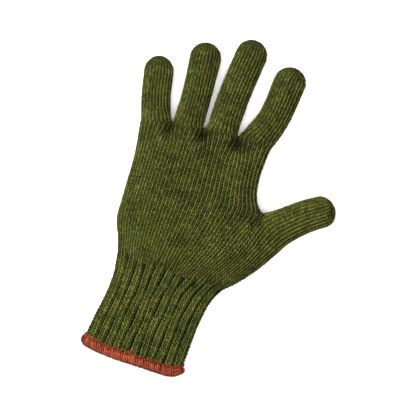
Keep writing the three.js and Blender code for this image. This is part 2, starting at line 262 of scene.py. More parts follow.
def palmSection(row, course, wales, under):  # the four fingers' part, and where its strips meet
    left = np.array([row["leftX"], row["leftY"]])
    right = np.array([row["rightX"], row["rightY"]])
    half = np.linalg.norm(right - left) / 2
    ahead = (right - left) / (2 * half)
    across, up, part = ovalArc(half - knit["layer"], row["thick"] / 2 - knit["layer"])
    spots = np.array(lineSpots(row, row["leftX"], row["rightX"], 2 * half)) - half
    shares = waleShares(wales, np.arange(5) * fingerWales, spots, across, part)
    a = np.interp(shares, part, across)
    crown = crownAt(course)
    plan = left + np.outer(a + half, ahead)
    plan[:, 1] += np.interp(plan[:, 0], *crown)
    height = np.interp(shares, part, up)
    middleZ = row["thick"] / 2 - knit["restSink"]
    joined = np.column_stack([plan, middleZ + (-height if under else height)])
    meets = left + np.outer([0, *(spots + half), 2 * half], ahead)
    meets[:, 1] += np.interp(meets[:, 0], *crown)
    return joined, meets


def crownAt(course):  # how far the line of the webs rises above a straight line across the palm
    last = palmRows[-1]
    xs = [last[1]] + [w[0] for w in webs] + [last[3]]
    straight = np.interp([w[0] for w in webs], [last[1], last[3]], [last[2], last[4]])
    rise = np.array([w[1] for w in webs]) - straight
    return xs, np.concatenate([[0], rise, [0]]) * smooth(thumbRoot, fingerRoot, course)


# Strips: each finger and the thumb, from the mouth of the cuff to its tip


def fingerLevels(finger, left, right):  # a list of ends and thickness for each half course
    root = (np.array(left) + np.array(right)) / 2
    mid = np.array([finger["midX"], finger["midY"]])
    tip = np.array([finger["tipX"], finger["tipY"]])
    aim = (tip - mid) / np.linalg.norm(tip - mid)
    shoulder = tip - aim * fingerTip
    first = np.linalg.norm(mid - root)
    length = first + np.linalg.norm(shoulder - mid)
    path = [
        (0.0, *root, finger["rootWidth"]),
        (first, *mid, finger["midWidth"]),
        (length, *shoulder, finger["tipWidth"]),
    ]
    trunk = round(length / courseHeight)
    levels = []
    for half in range(2 * (trunk + tipCourses) + 1):
        step = half / 2
        run = min(step / trunk, 1) * length
        near, here, far = smoothTable("d x y width".split(), path, np.array([run - 1, run, run + 1]))
        along = np.array([far["x"] - near["x"], far["y"] - near["y"]])
        along = along / np.linalg.norm(along)
        side = np.array([along[1], -along[0]]) * here["width"] / 2
        sweep = max(step - trunk, 0) / tipCourses * tipSweep
        scale = (1 - math.sin(sweep) ** tipPower) ** (1 / tipPower)
        middle = np.array([here["x"], here["y"]]) + along * fingerTip * math.sin(sweep)
        opened = math.sqrt(1 - (1 - min(run / web["round"], 1)) ** 2)
        thick = mix(palmRows[-1][5], finger["thick"], smooth(0, web["thickLong"], run))
        levels.append({
            "left": mix(np.array(left), middle - side * scale, opened),
            "right": mix(np.array(right), middle + side * scale, opened),
            "thick": thick * scale,
            "middleZ": thick / 2 - knit["restSink"],
            "scale": scale,
            "gusset": mix(web["gussetFrom"], 1, smooth(0, web["gussetLong"], run)),
            "join": 1 - opened,
        })
    return levels


def thumbLevels():
    trunk = thumbRows[-1][0] - thumbRoot
    total = round(trunk) + tipCourses
    levels = []
    for half in range(2 * total + 1):
        step = half / 2
        sweep = max(step - trunk, 0) / (total - trunk) * tipSweep
        scale = (1 - math.sin(sweep) ** tipPower) ** (1 / tipPower)
        at = np.array([thumbRoot + min(step, trunk)])
        here = smoothTable(thumbColumns, thumbRows, at)[0]
        left = np.array([here["leftX"], here["leftY"]])
        right = np.array([here["rightX"], here["rightY"]])
        span = (right - left) / np.linalg.norm(right - left)
        ahead = np.array([-span[1], span[0]]) * thumbTip * math.sin(sweep)
        middle = (left + right) / 2 + ahead
        levels.append({
            "left": middle + (left - right) / 2 * scale,
            "right": middle + (right - left) / 2 * scale,
            "thick": here["thick"] * scale,
            "middleZ": here["thick"] / 2 - knit["restSink"],
            "scale": scale,
            "join": 1 - smooth(0, web["thumbJoin"], step),
        })
    return levels


def ribAmount(wales, course):  # each rib fades out a little higher or lower than the next
    shift = 2.2 * np.sin(0.35 * wales + 0.5) + 1.2 * np.sin(0.8 * wales + 1)
    return 1 - smooth(ribs["fadeFrom"] + shift, ribs["fadeTo"] + shift, course)


def ribWarp(wales, course):  # the raised wales of a rib spread and the sunk ones draw together
    n = ribs["wales"]
    q = np.mod(wales + 1, n)
    spread = np.interp(q, [0, n / 2, n], [0, n * ribs["face"], n])
    wander = 0.22 * np.sin(0.33 * course + 0.5 * wales) + 0.16 * np.sin(0.57 * course - 0.3 * wales + 2)
    free = np.sin(math.pi * wales / allWales).clip(0)
    return wales + (spread - q + wander * free) * ribAmount(wales, course)


def ribDip(wales, course):
    amount = ribAmount(wales, course)
    uneven = 0.2 * np.sin(0.29 * course + 0.9 * wales) + 0.12 * np.sin(0.8 * wales - 0.1 * course)
    amount = amount * (0.8 + uneven)
    n = ribs["wales"]
    q = np.interp(np.mod(wales + 1, n), [0, n / 2, n], [0, n * ribs["face"], n])
    crest = n * ribs["face"] / 2
    off = np.abs(np.mod(q - crest + n / 2, n) - n / 2) / (n / 2)
    return amount * ribs["depth"] * (1 - np.sqrt(1 - 0.985 * off ** ribs["roundness"]))


# Where the upper side is pressed in: the webs, the creased fingertips and the foot of the thumb.
# Their depth also darkens the colour there, as painted shade
dentColumns = "x y along turn across depth".split()
dents = [
    (-50.8, 45.4, 4.6, 10, 5.0, 5.2),
    (-26.6, 48.0, 5.8, -10, 4.8, 6.4),
    (0.8, 49.6, 6.6, -20, 5.6, 6.6),
    (14.4, 95.0, 9.0, 80, 4.2, 3.4),
    (24.8, 110.6, 4.6, -30, 1.7, 1.7),
    (77.2, 21.6, 4.4, -70, 1.4, 5.6),
    (75.0, 26.6, 4.4, -40, 1.5, 1.0),
    (-71.8, 93.0, 3.6, 30, 1.6, 1.0),
    (-35.0, 103.0, 8.0, 80, 2.8, 3.0),
    (6.5, -58.0, 15.0, 2, 5.0, 2.6),
    (33.0, 1.0, 7.0, -70, 3.4, 1.6),
]


def pressed(points):  # how deep the upper side is pressed in
    x, y = points[..., 0], points[..., 1]
    depth = 0
    for row in dents:
        dent = dict(zip(dentColumns, row))
        c, s = math.cos(math.radians(dent["turn"])), math.sin(math.radians(dent["turn"]))
        u = (x - dent["x"]) * c + (y - dent["y"]) * s
        v = (y - dent["y"]) * c - (x - dent["x"]) * s
        depth = depth + dent["depth"] * np.exp(-((u / dent["along"]) ** 2) - (v / dent["across"]) ** 2)
    return depth


def waves(points):  # and how it rises and falls elsewhere
    x, y = points[..., 0], points[..., 1]
    return 0.32 * (np.sin(x / 13 + 0.4) * np.sin(y / 17 + 1.3) + 0.6 * np.sin(x / 7.1 - y / 11 + 2))


def stripGrid(name, under, extra=0):  # where the middle of the loops lies, by half course and wale
    isThumb = name == "thumb"
    index = 4 if isThumb else list(fingers).index(name)
    first = index * fingerWales
    count = thumbWales if isThumb else fingerWales
    places = np.linspace(-extra, count + extra, round((count + 2 * extra) * 4) + 1)
    ends = [-extra, 0, count, count + extra]
    local = np.interp(places, ends, [0, 0.1, count - 0.1, count]) if extra else places
    wales = first + local
    if isThumb:
        levels = thumbLevels()
    else:
        marks = [(palmRows[-1][1], palmRows[-1][2]), *webs, (palmRows[-1][3], palmRows[-1][4])]
        levels = fingerLevels(fingers[name], marks[index], marks[index + 1])
    inner = np.array([index > 0, index < 3])  # the sides where the strip has a neighbour
    root = thumbRoot if isThumb else fingerRoot
    before = np.arange(-2, 2 * root) / 2
    body = smoothTable(bodyColumns, bodyRows, before)
    palm = smoothTable(palmColumns, palmRows, before)
    rows = []
    for course, bodyRow, palmRow in zip(before, body, palm):
        if course <= thumbRoot:
            here = bodySection(bodyRow, ribWarp(wales, course), under)
            part = smooth(thumbRoot - web["thumbReach"], thumbRoot, course)
            if part > 0:
                edges = [(bodyRow[k + "X"], bodyRow[k + "Y"]) for k in ("left", "border", "right")]
                if isThumb:
                    thick = mix(bodyRow["thick"], thumbRows[0][-1], part)
                    own = ownSection(*edges[1:], thick, thick / 2 - knit["restSink"], local,
                                     [0, count], [], under, (1, 0))
                else:
                    thick = bodyRow["thick"]
                    run = math.dist(*edges[:2])
                    spots = np.array(lineSpots(bodyRow, edges[0][0], edges[1][0], run)) - run / 2
                    own = ownSection(*edges[:2], thick, thick / 2 - knit["restSink"], wales,
                                     np.arange(5) * fingerWales, spots, under, (0, 1))
                here = mix(here, own, part)
        else:
            here, meets = palmSection(palmRow, course, wales, under)
            part = smooth(fingerRoot - web["reach"], fingerRoot, course)
            thick = palmRow["thick"]
            pair = meets[index], meets[index + 1]
            own = ownSection(*pair, thick, thick / 2 - knit["restSink"], local, [0, count], [], under,
                             inner)
            here = mix(here, own, part)
        rows.append(here)
    for level in levels:
        shares = None
        if extra:
            opened = level["gusset"] * extra / (count + 2 * extra * level["gusset"])
            shares = np.interp(places, ends, [0, opened, 1 - opened, 1])
        rows.append(ownSection(level["left"], level["right"], level["thick"], level["middleZ"],
                               local, [0, count], [], under, inner * level["join"], shares))
    grid = np.array(rows)
    course = (np.arange(len(grid)) - 2) / 2
    if name in ("index_finger", "thumb"):
        around = np.arange(-corner["span"], corner["span"] + 1)
        kernel = np.exp(-((around / corner["spread"]) ** 2))
        near = np.clip(np.arange(len(grid))[:, None] + around, 0, len(grid) - 1)
        eased = (grid[near] * (kernel / kernel.sum())[:, None, None]).sum(axis=1)
        part = np.exp(-(((course - thumbRoot) / corner["reach"]) ** 2))[:, None]
        part = part * smooth(0, corner["offLeft"], local)
        part = part * smooth(0, corner["offRight"], count - local)
        grid = mix(grid, eased, part[..., None])
    outward = gridNormals(grid, under)
    # the valleys of the ribs sink in, and their depth also darkens the colour as painted shade
    dip = ribDip(wales[None, :], course[:, None])
    grid = grid - outward * dip[..., None]
    if not under:
        hollow = pressed(grid)
        relief = smooth(knit["reliefFrom"], knit["reliefTo"], grid[..., 2])
        grid[..., 2] += (waves(grid) - hollow) * relief
        # painted shade: a dent also counts as a dip, which darkens the colour
        dip = dip + knit["dentShade"] * hollow
    soft = knit["restSoft"]
    low = knit["layer"]
    grid[..., 2] = low + soft * np.logaddexp(0, (grid[..., 2] - low) / soft)
    scale = np.ones(len(grid))
    scale[len(before):] = [level["scale"] for level in levels]
    return {
        "grid": grid,
        "normals": gridNormals(grid, under),
        "dip": dip,
        "scale": scale,
        "pitch": np.linalg.norm(np.gradient(grid, axis=1), axis=2) * 4,
        "first": first,
        "count": round(count + 2 * extra),
        "root": root,
        "courses": (len(grid) - 3) // 2,
    }


def gridNormals(grid, under):
    along = np.gradient(grid, axis=0)
    across = np.gradient(grid, axis=1)
    n = np.cross(across, along)
    n /= np.linalg.norm(n, axis=-1, keepdims=True) + 1e-9
    return -n if under else n


def sample(strip, key, course, local):  # reads a grid between its points
    values = strip[key]
    r = np.clip(course * 2 + 2, 0, len(values) - 1.001)
    c = np.clip(local * 4, 0, values.shape[1] - 1.001)
    i, j = r.astype(int), c.astype(int)
    fr, fc = r - i, c - j
    if values.ndim == 3:
        fr, fc = fr[..., None], fc[..., None]
    low = values[i, j] * (1 - fc) + values[i, j + 1] * fc
    high = values[i + 1, j] * (1 - fc) + values[i + 1, j + 1] * fc
    return low * (1 - fr) + high * fr


names = [*fingers, "thumb"]
strips = {(name, under): stripGrid(name, under) for name in names for under in (False, True)}
tubeStrips = {key: stripGrid(*key, gussetWales) if key[0] in fingers else strips[key] for key in strips}
print("strips ready:", {name: strips[name, False]["courses"] for name in names})

# Meshes


def makeObject(name, parts, uv=False):  # parts are rows of tubes or sheets, all in millimetres
    points = np.concatenate([part["points"] for part in parts]) * mm
    starts = np.cumsum([0] + [len(part["points"]) for part in parts[:-1]])
    faces = np.concatenate([part["faces"] + start for part, start in zip(parts, starts)])
    mesh = bpy.data.meshes.new(name)
    mesh.vertices.add(len(points))
    mesh.vertices.foreach_set("co", points.ravel())
    mesh.loops.add(faces.size)
    mesh.loops.foreach_set("vertex_index", faces.ravel())
    mesh.polygons.add(len(faces))
    mesh.polygons.foreach_set("loop_start", np.arange(len(faces)) * 4)
    mesh.polygons.foreach_set("use_smooth", np.ones(len(faces), bool))
    # the yarn's depth, which the finishes turn into painted shade
    if all("height" in part for part in parts):
        heights = np.concatenate([part["height"] for part in parts])
        mesh.attributes.new("height", "FLOAT", "POINT").data.foreach_set("value", heights)
    if uv:
        packed, yarn = packRows(parts)
        mesh.uv_layers.new(name="OFBake").uv.foreach_set("vector", packed.ravel())
        mesh.uv_layers.new(name="yarn").uv.foreach_set("vector", yarn.ravel())
    mesh.update(calc_edges=True)
    item = bpy.data.objects.new(name, mesh)
    bpy.context.scene.collection.objects.link(item)
    print(name, "has", len(faces) * 2, "triangles")
    return item


def tubes(path, out, radius, sides, height=0.0):  # one open tube for each row of the path
    along = np.gradient(path, axis=1)
    along /= np.linalg.norm(along, axis=-1, keepdims=True) + 1e-9
    side = np.cross(along, out)
    side /= np.linalg.norm(side, axis=-1, keepdims=True) + 1e-9
    up = np.cross(side, along)
    turn = np.arange(sides) / sides * 2 * math.pi
    ring = up[:, :, None] * np.cos(turn)[:, None] + side[:, :, None] * np.sin(turn)[:, None]
    points = path[:, :, None] + ring * np.broadcast_to(radius, path.shape[:2])[:, :, None, None]
    rows, steps = path.shape[:2]
    r, k, s = np.meshgrid(np.arange(rows), np.arange(steps - 1), np.arange(sides), indexing="ij")
    base = (r * steps + k) * sides
    far = base + sides
    after = (s + 1) % sides
    faces = np.stack([base + s, base + after, far + after, far + s], axis=-1).reshape(-1, 4)
    lengths = np.linalg.norm(np.diff(path, axis=1), axis=-1).sum(axis=1)
    # painted shade: each yarn counts as deeper on its lower side, so its colour darkens there
    shadeHeight = np.broadcast_to(height, (rows, steps))[:, :, None]
    shadeHeight = shadeHeight + np.broadcast_to(radius, (rows, steps))[:, :, None] * np.cos(turn)
    return {"points": points.reshape(-1, 3), "faces": faces, "rows": rows, "steps": steps,
            "sides": sides, "lengths": lengths, "height": shadeHeight.ravel()}


def packRows(parts):  # lays the tubes out side by side on shelves, for the finish
    lengths = np.concatenate([part["lengths"] for part in parts])
    wide = max(math.sqrt(lengths.sum() * 4.2), lengths.max() * 1.01)
    shelf = np.zeros(len(lengths), int)
    begin = np.zeros(len(lengths))
    at, level = 0.0, 0
    for i, length in enumerate(lengths):
        if at + length > wide:
            at, level = 0.0, level + 1
        shelf[i], begin[i] = level, at
        at += length + wide * 0.004
    high = 1 / (level + 1)
    blocks, yarn = [], []
    first = 0
    for part in parts:
        rows, steps, sides = part["rows"], part["steps"], part["sides"]
        r, k, s = np.meshgrid(np.arange(rows), np.arange(steps - 1), np.arange(sides), indexing="ij")
        own = first + r
        here = lengths[own] * k / (steps - 1)
        there = lengths[own] * (k + 1) / (steps - 1)
        u0 = (begin[own] + here) / wide * 0.995
        u1 = (begin[own] + there) / wide * 0.995
        v0 = (shelf[own] + 0.1 + 0.8 * s / sides) * high
        v1 = (shelf[own] + 0.1 + 0.8 * (s + 1) / sides) * high
        block = np.stack([u0, v0, u0, v1, u1, v1, u1, v0], axis=-1)
        blocks.append(block.reshape(-1, 2))
        a = (s + sides // 2) % sides / sides  # the seam of the yarn's pattern lies on its lower side
        b = a + 1 / sides
        apart = np.mod(own * 617.31, 4000)  # so that no two rows have the same specks
        here, there = here + apart, there + apart
        yarn.append(np.stack([here, a, here, b, there, b, there, a], axis=-1).reshape(-1, 2))
        first += rows
    return np.concatenate(blocks), np.concatenate(yarn)


def sheet(grid, flip):  # a skin of fabric through a grid of points
    rows, columns = grid.shape[:2]
    r, c = np.meshgrid(np.arange(rows - 1), np.arange(columns - 1), indexing="ij")
    base = r * columns + c
    faces = np.stack([base, base + 1, base + columns + 1, base + columns], axis=-1).reshape(-1, 4)
    return {"points": grid.reshape(-1, 3), "faces": faces[:, ::-1] if flip else faces}


def onFloor(path, radius):  # nothing goes below the surface that the glove lies on
    path[..., 2] = np.maximum(path[..., 2], radius)
    return path


def perStitch(rows, count, at):  # one random value a stitch, easing from each to the next
    values = rng.normal(0, 1, (rows, count + 2))
    k = np.floor(at).astype(int).clip(0, count)
    f = at - k
    f = f * f * (3 - 2 * f)
    return values[:, k] * (1 - f) + values[:, k + 1] * f


def loopRows(strip, fromCourse, toCourse, samples, sides):  # one length of yarn for each course
    count = strip["count"]
    at = np.arange(count * samples + 1) / samples
    course = np.arange(fromCourse, toCourse)[:, None] + 0.5
    rows = len(course)
    angle = 2 * math.pi * (at - 0.5)
    scale = strip["scale"]
    thin = 0.3 + 0.7 * np.interp(course * 2 + 2, np.arange(len(scale)), scale)  # where a tip closes
    inCuff = course < cuffTop
    lean = np.where(inCuff, knit["ribLean"], knit["loopLean"])
    tube = smooth(strip["root"] - 6, strip["root"] + 6, course)
    gather = np.where(inCuff, knit["ribGather"], mix(knit["gather"], knit["tubeGather"], tube))
    across = at + lean * np.sin(2 * angle) - gather * np.sin(angle) / (2 * math.pi)
    across = across + knit["wobble"][0] * perStitch(rows, count, at)
    across = across.clip(0, count)
    rise = course + knit["loopReach"] * np.cos(angle) + knit["wobble"][1] * perStitch(rows, count, at)
    q = np.mod(strip["first"] + at + 1, ribs["wales"])
    half = ribs["wales"] / 2
    raised = np.minimum(q, half - q)
    lowered = -np.minimum(q - half, ribs["wales"] - q)
    face = np.clip(np.where(q > half, lowered, raised) / ribs["turn"], -1, 1)
    face = np.where(inCuff, face, 1.0)
    sunk = (1 - face) / 2
    out = -(knit["loopDepth"] * np.cos(2 * angle) + knit["twist"] * np.sin(angle))
    out = out * face * thin * (1 - 0.6 * sunk)
    out = out + knit["wobble"][2] * (1 + tube) * perStitch(rows, count, at)
    path = sample(strip, "grid", rise, across)
    normal = sample(strip, "normals", rise, across)
    path = path + normal * out[..., None]
    thick = np.where(inCuff, knit["ribYarn"], knit["yarnRadius"])
    radius = thick * (1 - knit["sunkThin"] * sunk) * thin
    radius = radius * (1 + knit["thickThin"] * perStitch(rows, count, at))
    pitch = sample(strip, "pitch", rise, across) / knit["fullPitch"]
    radius = radius * (0.4 + 0.6 * np.clip(pitch, 0.4, 1.1))
    # how deep the yarn lies, turned into painted shade by the finishes: the backs of the loops, the rib
    # valleys and the dents are darker
    height = out - knit["dipShade"] * sample(strip, "dip", rise, across)
    return tubes(onFloor(path, radius), normal, radius, sides, height)


fine = {"samples": 8, "sides": 5}  # points to a stitch, and round the yarn
coarse = {"samples": 6, "sides": 4}


def loops(name, under, fromCourse, toCourse):  # from the web on, a finger has its gussets
    strip = (strips if fromCourse < strips[name, under]["root"] else tubeStrips)[name, under]
    return loopRows(strip, fromCourse, toCourse, **(coarse if under else fine))


pieces = {}
both = (False, True)
pieces["cuff_knit"] = makeObject("cuff_knit", [
    loops(name, under, 0, cuffTop) for name in names for under in both], uv=True)
for part, under in (("hand_knit", False), ("hand_knit_under", True)):
    pieces[part] = makeObject(part, [
        loops(name, under, cuffTop, thumbRoot if name == "thumb" else fingerRoot) for name in names
    ], uv=True)
for name in names:
    root, top = strips[name, False]["root"], strips[name, False]["courses"]
    pieces[name + "_knit"] = makeObject(name + "_knit", [
        loops(name, under, root, top) for under in both], uv=True)
print("loops ready")

# Behind the loops the fabric is closed: one sheet under their outer side, one on the inside

ground = {
    "outer": 0.5,
    "inner": 0.62,
    "least": 0.15,          # how far it stays above the floor
    "hem": 2.4,             # how far its lower side runs on into the edge
}


def groundSheets():
    parts = []
    for (name, under), strip in strips.items():
        thin = strip["scale"][:, None, None] * np.ones((1, strip["grid"].shape[1], 1))
        thin[:, [0, -1]] = 0  # the sheets of neighbouring strips meet
        for depth, flip in ((ground["outer"], under), (ground["inner"], not under)):
            grid = strip["grid"] - strip["normals"] * depth * thin
            grid[..., 2] = np.maximum(grid[..., 2], ground["least"] + 0.3 * depth)
            lower = smooth(-7, 3, bodyRows[0][7] / 2 - knit["restSink"] - grid[0, :, 2])
            grid[0, :, 1] -= ground["hem"] * lower
            parts.append(sheet(grid[::2, ::2], flip))
    return parts


pieces["ground"] = makeObject("glove_ground", groundSheets())

# Loose fibres that stand off the yarn

fuzz = {
    "perStitch": 0.9,
    "long": (0.6, 1.9),
    "radius": 0.028,        # twice as thick as real ones, which are too fine to show
    "steps": 3,
    "rise": (0.1, 0.6),
    "curl": 0.8,
    "under": 0.25,          # how many of them the lower side has
}


def fibres(strip, amount):
    count = int(strip["courses"] * strip["count"] * fuzz["perStitch"] * amount)
    course = rng.uniform(0.5, strip["courses"] - 0.5, count)
    local = rng.uniform(0.05, strip["count"] - 0.05, count)
    normal = sample(strip, "normals", course, local)
    start = sample(strip, "grid", course, local) + normal * rng.uniform(0.1, 0.7, count)[:, None]
    lean = rng.normal(0, 1, (count, 3))
    lean /= np.linalg.norm(lean, axis=1, keepdims=True)
    step = lean + normal * rng.uniform(*fuzz["rise"], count)[:, None]
    step *= rng.uniform(*fuzz["long"], count)[:, None] / fuzz["steps"]
    bend = rng.normal(0, fuzz["curl"], (count, 3)).clip(-1, 1)
    bend *= np.linalg.norm(step, axis=1, keepdims=True)
    t = np.arange(fuzz["steps"] + 1)[None, :, None]
    path = start[:, None] + step[:, None] * t + bend[:, None] * t * t / fuzz["steps"]
    out = np.broadcast_to(normal[:, None], path.shape)
    return tubes(onFloor(path, fuzz["radius"]), out, fuzz["radius"], 3)


pieces["fuzz"] = makeObject("wool_fuzz", [
    fibres(strip, fuzz["under"] if under else 1.0) for (name, under), strip in strips.items()])

# The overlocked edge: one thread wound round the end of the cuff into a roll, and over it a row of
# chain loops that lie on the knit

edge = {
    "reach": 2.1,           # half the height of the roll
    "outset": 2.4,          # and half its thickness
    "middle": -0.9,
    "thread": 0.6,
    "pitch": 1.4,
    "samples": 16,
    "slant": 0.12,          # the threads lean along the edge on their way down
    "farShift": 3.4,        # the far side of the mouth lies a little lower
    "uneven": 0.3,
    "bunch": (5.2, 0.18),   # the threads stand in bunches: how long one is and how far they lean
    "end": 0.34,            # how much thicker the roll is at the little finger's side,
    "endFrom": 60.5,        # and from where to where it grows so, out from the middle of the model
    "endTo": 65.5,
    "core": 1.6,
    "coreShadeDepth": -1.75,     # painted shade: it counts as this deep, as no light reaches it
    "chain": 2.9,           # the length of one chain loop
    "chainAt": 2.85,
    "chainHigh": 0.8,
    "chainThread": 0.38,
}
# How far the edge lies off the smooth line of the mouth, from left to right
edgeBend = np.array([(-70, 0.0), (-58, 0.0), (-20, 0.0), (-9, -0.6), (-1, -1.4), (4, -1.0), (9, 0.4)])


def mouthRing(count):  # points all round the mouth, with the ways out of it and along it
    row = smoothTable(bodyColumns, bodyRows, np.array([0.0]))[0]
    wales = np.linspace(0, allWales, 481)
    top = bodySection(row, wales, False)
    low = bodySection(row, wales, True)[::-1]
    ring = np.concatenate([top, low[1:]])
    run = np.concatenate([[0], np.cumsum(np.linalg.norm(np.diff(ring, axis=0), axis=1))])
    at = np.linspace(0, run[-1], count)
    points = np.column_stack([np.interp(at, run, ring[:, i]) for i in range(3)])
    ends = np.roll(points[:-1], -1, axis=0) - np.roll(points[:-1], 1, axis=0)
    ends = np.concatenate([ends, ends[:1]])
    along = ends / np.linalg.norm(ends, axis=1, keepdims=True)
    out = np.cross(along, [0.0, 1.0, 0.0])
    out /= np.linalg.norm(out, axis=1, keepdims=True)
    middle = row["thick"] / 2 - knit["restSink"]
    far = smooth(-2, 6, middle - points[:, 2])
    points[:, 1] += np.interp(points[:, 0], *edgeBend.T) - edge["farShift"] * far
    points[:, 2] = np.maximum(points[:, 2], knit["layer"] + 0.4)
    return points, along, out, run[-1]


def edgeWraps():  # one thread that winds round the roll from end to end
    length = mouthRing(10)[3]
    turns = round(length / edge["pitch"])
    steps = turns * edge["samples"] + 1
    points, along, out, length = mouthRing(steps)
    at = np.linspace(0, length, steps)
    bunch = 2 * math.pi * (at / edge["bunch"][0] + 0.4 * np.sin(at / 9))
    stout = 1 + edge["end"] * smooth(edge["endFrom"], edge["endTo"], -points[:, 0])
    points = points + along * (edge["bunch"][1] * np.sin(bunch))[:, None]
    angle = np.arange(steps) / edge["samples"] * 2 * math.pi
    uneven = perStitch(1, turns, np.arange(steps) / edge["samples"])[0]
    c, s = np.cos(angle), np.sin(angle)
    down = -np.sign(c) * np.abs(c) ** 0.9 * edge["reach"] * stout
    down = down - edge["uneven"] * uneven * (c > 0)
    away = np.sign(s) * np.abs(s) ** 0.9 * (edge["outset"] - 0.2 * np.cos(bunch))
    path = points + out * away[:, None]
    path[:, 1] += edge["middle"] - down
    path += along * (edge["slant"] * down * s.clip(0))[:, None]
    wrapOut = out * s[:, None] + np.outer(c, [0.0, 1.0, 0.0])
    radius = edge["thread"] * (1 + 0.1 * uneven)
    return tubes(onFloor(path, radius)[None], wrapOut[None], radius[None], 5)


def edgeCore():  # the end of the fabric, rolled up inside the wound thread
    points, along, out, length = mouthRing(200)
    points[:, 1] += edge["middle"]
    radius = np.full((1, 200), edge["core"])
    return tubes(onFloor(points, edge["core"])[None], out[None], radius, 8, edge["coreShadeDepth"])


def edgeChain(side):  # two strands of it cross in every loop
    count = 2000
    points, along, out, length = mouthRing(count)
    at = np.linspace(0, length, count)
    loopsRound = round(length / edge["chain"])
    uneven = perStitch(1, loopsRound, at / length * loopsRound)[0]
    turn = math.pi * (at / length * loopsRound + 0.25 * uneven)
    high = edge["chainHigh"] * (1 + 0.3 * uneven)
    away = 1.0 + 0.6 * np.abs(out[:, 2]) + 0.3 * side * np.cos(2 * turn)  # one strand over the other
    path = points + out * away[:, None]
    path[:, 1] += edge["chainAt"] + side * high * np.sin(turn) + 0.25 * uneven
    thread = edge["chainThread"]
    return tubes(onFloor(path, thread)[None], out[None], np.full((1, count), thread), 5)


pieces["edge"] = makeObject("edge_thread_wraps", [
    edgeWraps(), edgeCore(), edgeChain(1), edgeChain(-1)], uv=True)
print("edge ready")

# Finishes. The glove is wool: fibres dyed in several colours, spun into a yarn of two plies and then
# knitted. It gives the eye a soft, matt green that breaks up close by into dark, yellow, grey and rust
# flecks, with painted shade where the yarn lies deep between its neighbours

fibre = {
    "ior": 1.54,
    "sheen": 0.01,
    "sheenRough": 0.5,
    "fleckLong": 1.5,      # how much longer than its size a fleck is along the yarn
    "flecksAcross": 1.3,   # how many lie side by side on a ply
    "streaksAlong": 1.2,   # streaks of fibres, to a millimetre of yarn
    "streaksAcross": 9.0,  # and to a ply. Fibres of 0.03 mm are too fine to show, so these are 0.2 mm
    "streakSize": 0.5,     # in mm, where the yarn shows no plies
    "streakDeep": 0.1,
    "plyDeep": 0.25,       # the relief of the two plies, in mm
    "patch": 11,           # the size of the darker and lighter patches that dyed wool has, in mm
    "patchy": 0.25,        # how far they shift its mix of colours
    "thumbLightFrom": 25,        # painted light: the wool is painted paler towards the thumb, from where to where it grows so
    "thumbLightTo": 80,
}


def linear(code):  # an sRGB colour written as hex
    parts = [int(code[i:i + 2], 16) / 255 for i in (1, 3, 5)]
    return tuple(c / 12.92 if c < 0.04045 else ((c + 0.055) / 1.055) ** 2.4 for c in parts) + (1.0,)


def addNode(tree, kind, settings={}, links={}):  # a link is a socket, or a node's first one
    item = tree.nodes.new(kind)
    for key, value in settings.items():
        if key == "stops":
            elements = item.color_ramp.elements
            while len(elements) < len(value):
                elements.new(0.5)
            for element, (place, code) in zip(elements, value):
                element.position = place
                element.color = linear(code)
        elif isinstance(key, str) and hasattr(item, key):
            setattr(item, key, value)
        else:
            item.inputs[key].default_value = value
    for key, source in links.items():
        socket = source.outputs[0] if isinstance(source, bpy.types.Node) else source
        tree.links.new(socket, item.inputs[key])
    return item


def perMetre(size):  # a texture scale, from the size of its features in millimetres
    return 1 / (size * mm)


def yarnPlace(tree, ply):  # the way across the yarn's twisted plies, and with it the way along
    yarn = addNode(tree, "ShaderNodeUVMap", {"uv_map": "yarn"})
    place = addNode(tree, "ShaderNodeSeparateXYZ", {}, {"Vector": yarn})
    turn = addNode(tree, "ShaderNodeMath", {"operation": "MULTIPLY", 1: 2.0}, {0: place.outputs["Y"]})
    phase = addNode(tree, "ShaderNodeMath", {"operation": "MULTIPLY_ADD", 1: 1 / ply},
                    {0: place.outputs["X"], 2: turn})
    return phase, addNode(tree, "ShaderNodeCombineXYZ", {}, {"X": place.outputs["X"], "Y": phase})


def plyShape(tree, phase):  # two round cords with a groove between them
    angle = addNode(tree, "ShaderNodeMath", {"operation": "MULTIPLY", 1: math.pi}, {0: phase})
    wave = addNode(tree, "ShaderNodeMath", {"operation": "SINE"}, {0: angle})
    return addNode(tree, "ShaderNodeMath", {"operation": "ABSOLUTE"}, {0: wave})


def paintedDeepShade(tree, low, high):  # painted shade: yarn that lies deep in the fabric is darkened in its colour, as if hidden from the light
    height = addNode(tree, "ShaderNodeAttribute", {"attribute_name": "height"})
    share = addNode(tree, "ShaderNodeMapRange", {1: low, 2: high}, {0: height.outputs["Fac"]})
    stops = [(0.0, "#4a4a46"), (0.5, "#9c9c9a"), (1.0, "#ffffff")]
    return addNode(tree, "ShaderNodeValToRGB", {"stops": stops}, {"Fac": share})


def paintedThumbLight(tree, place):  # painted light: the colour is darker on the little finger's side of the thumb and paler on the thumb
    where = addNode(tree, "ShaderNodeSeparateXYZ", {}, {"Vector": place})
    share = addNode(tree, "ShaderNodeMapRange", {1: fibre["thumbLightFrom"] * mm, 2: fibre["thumbLightTo"] * mm},
                    {0: where.outputs["X"]})
    return addNode(tree, "ShaderNodeValToRGB", {"stops": [(0.0, "#dcdcdc"), (1.0, "#ffffff")]},
                   {"Fac": share})
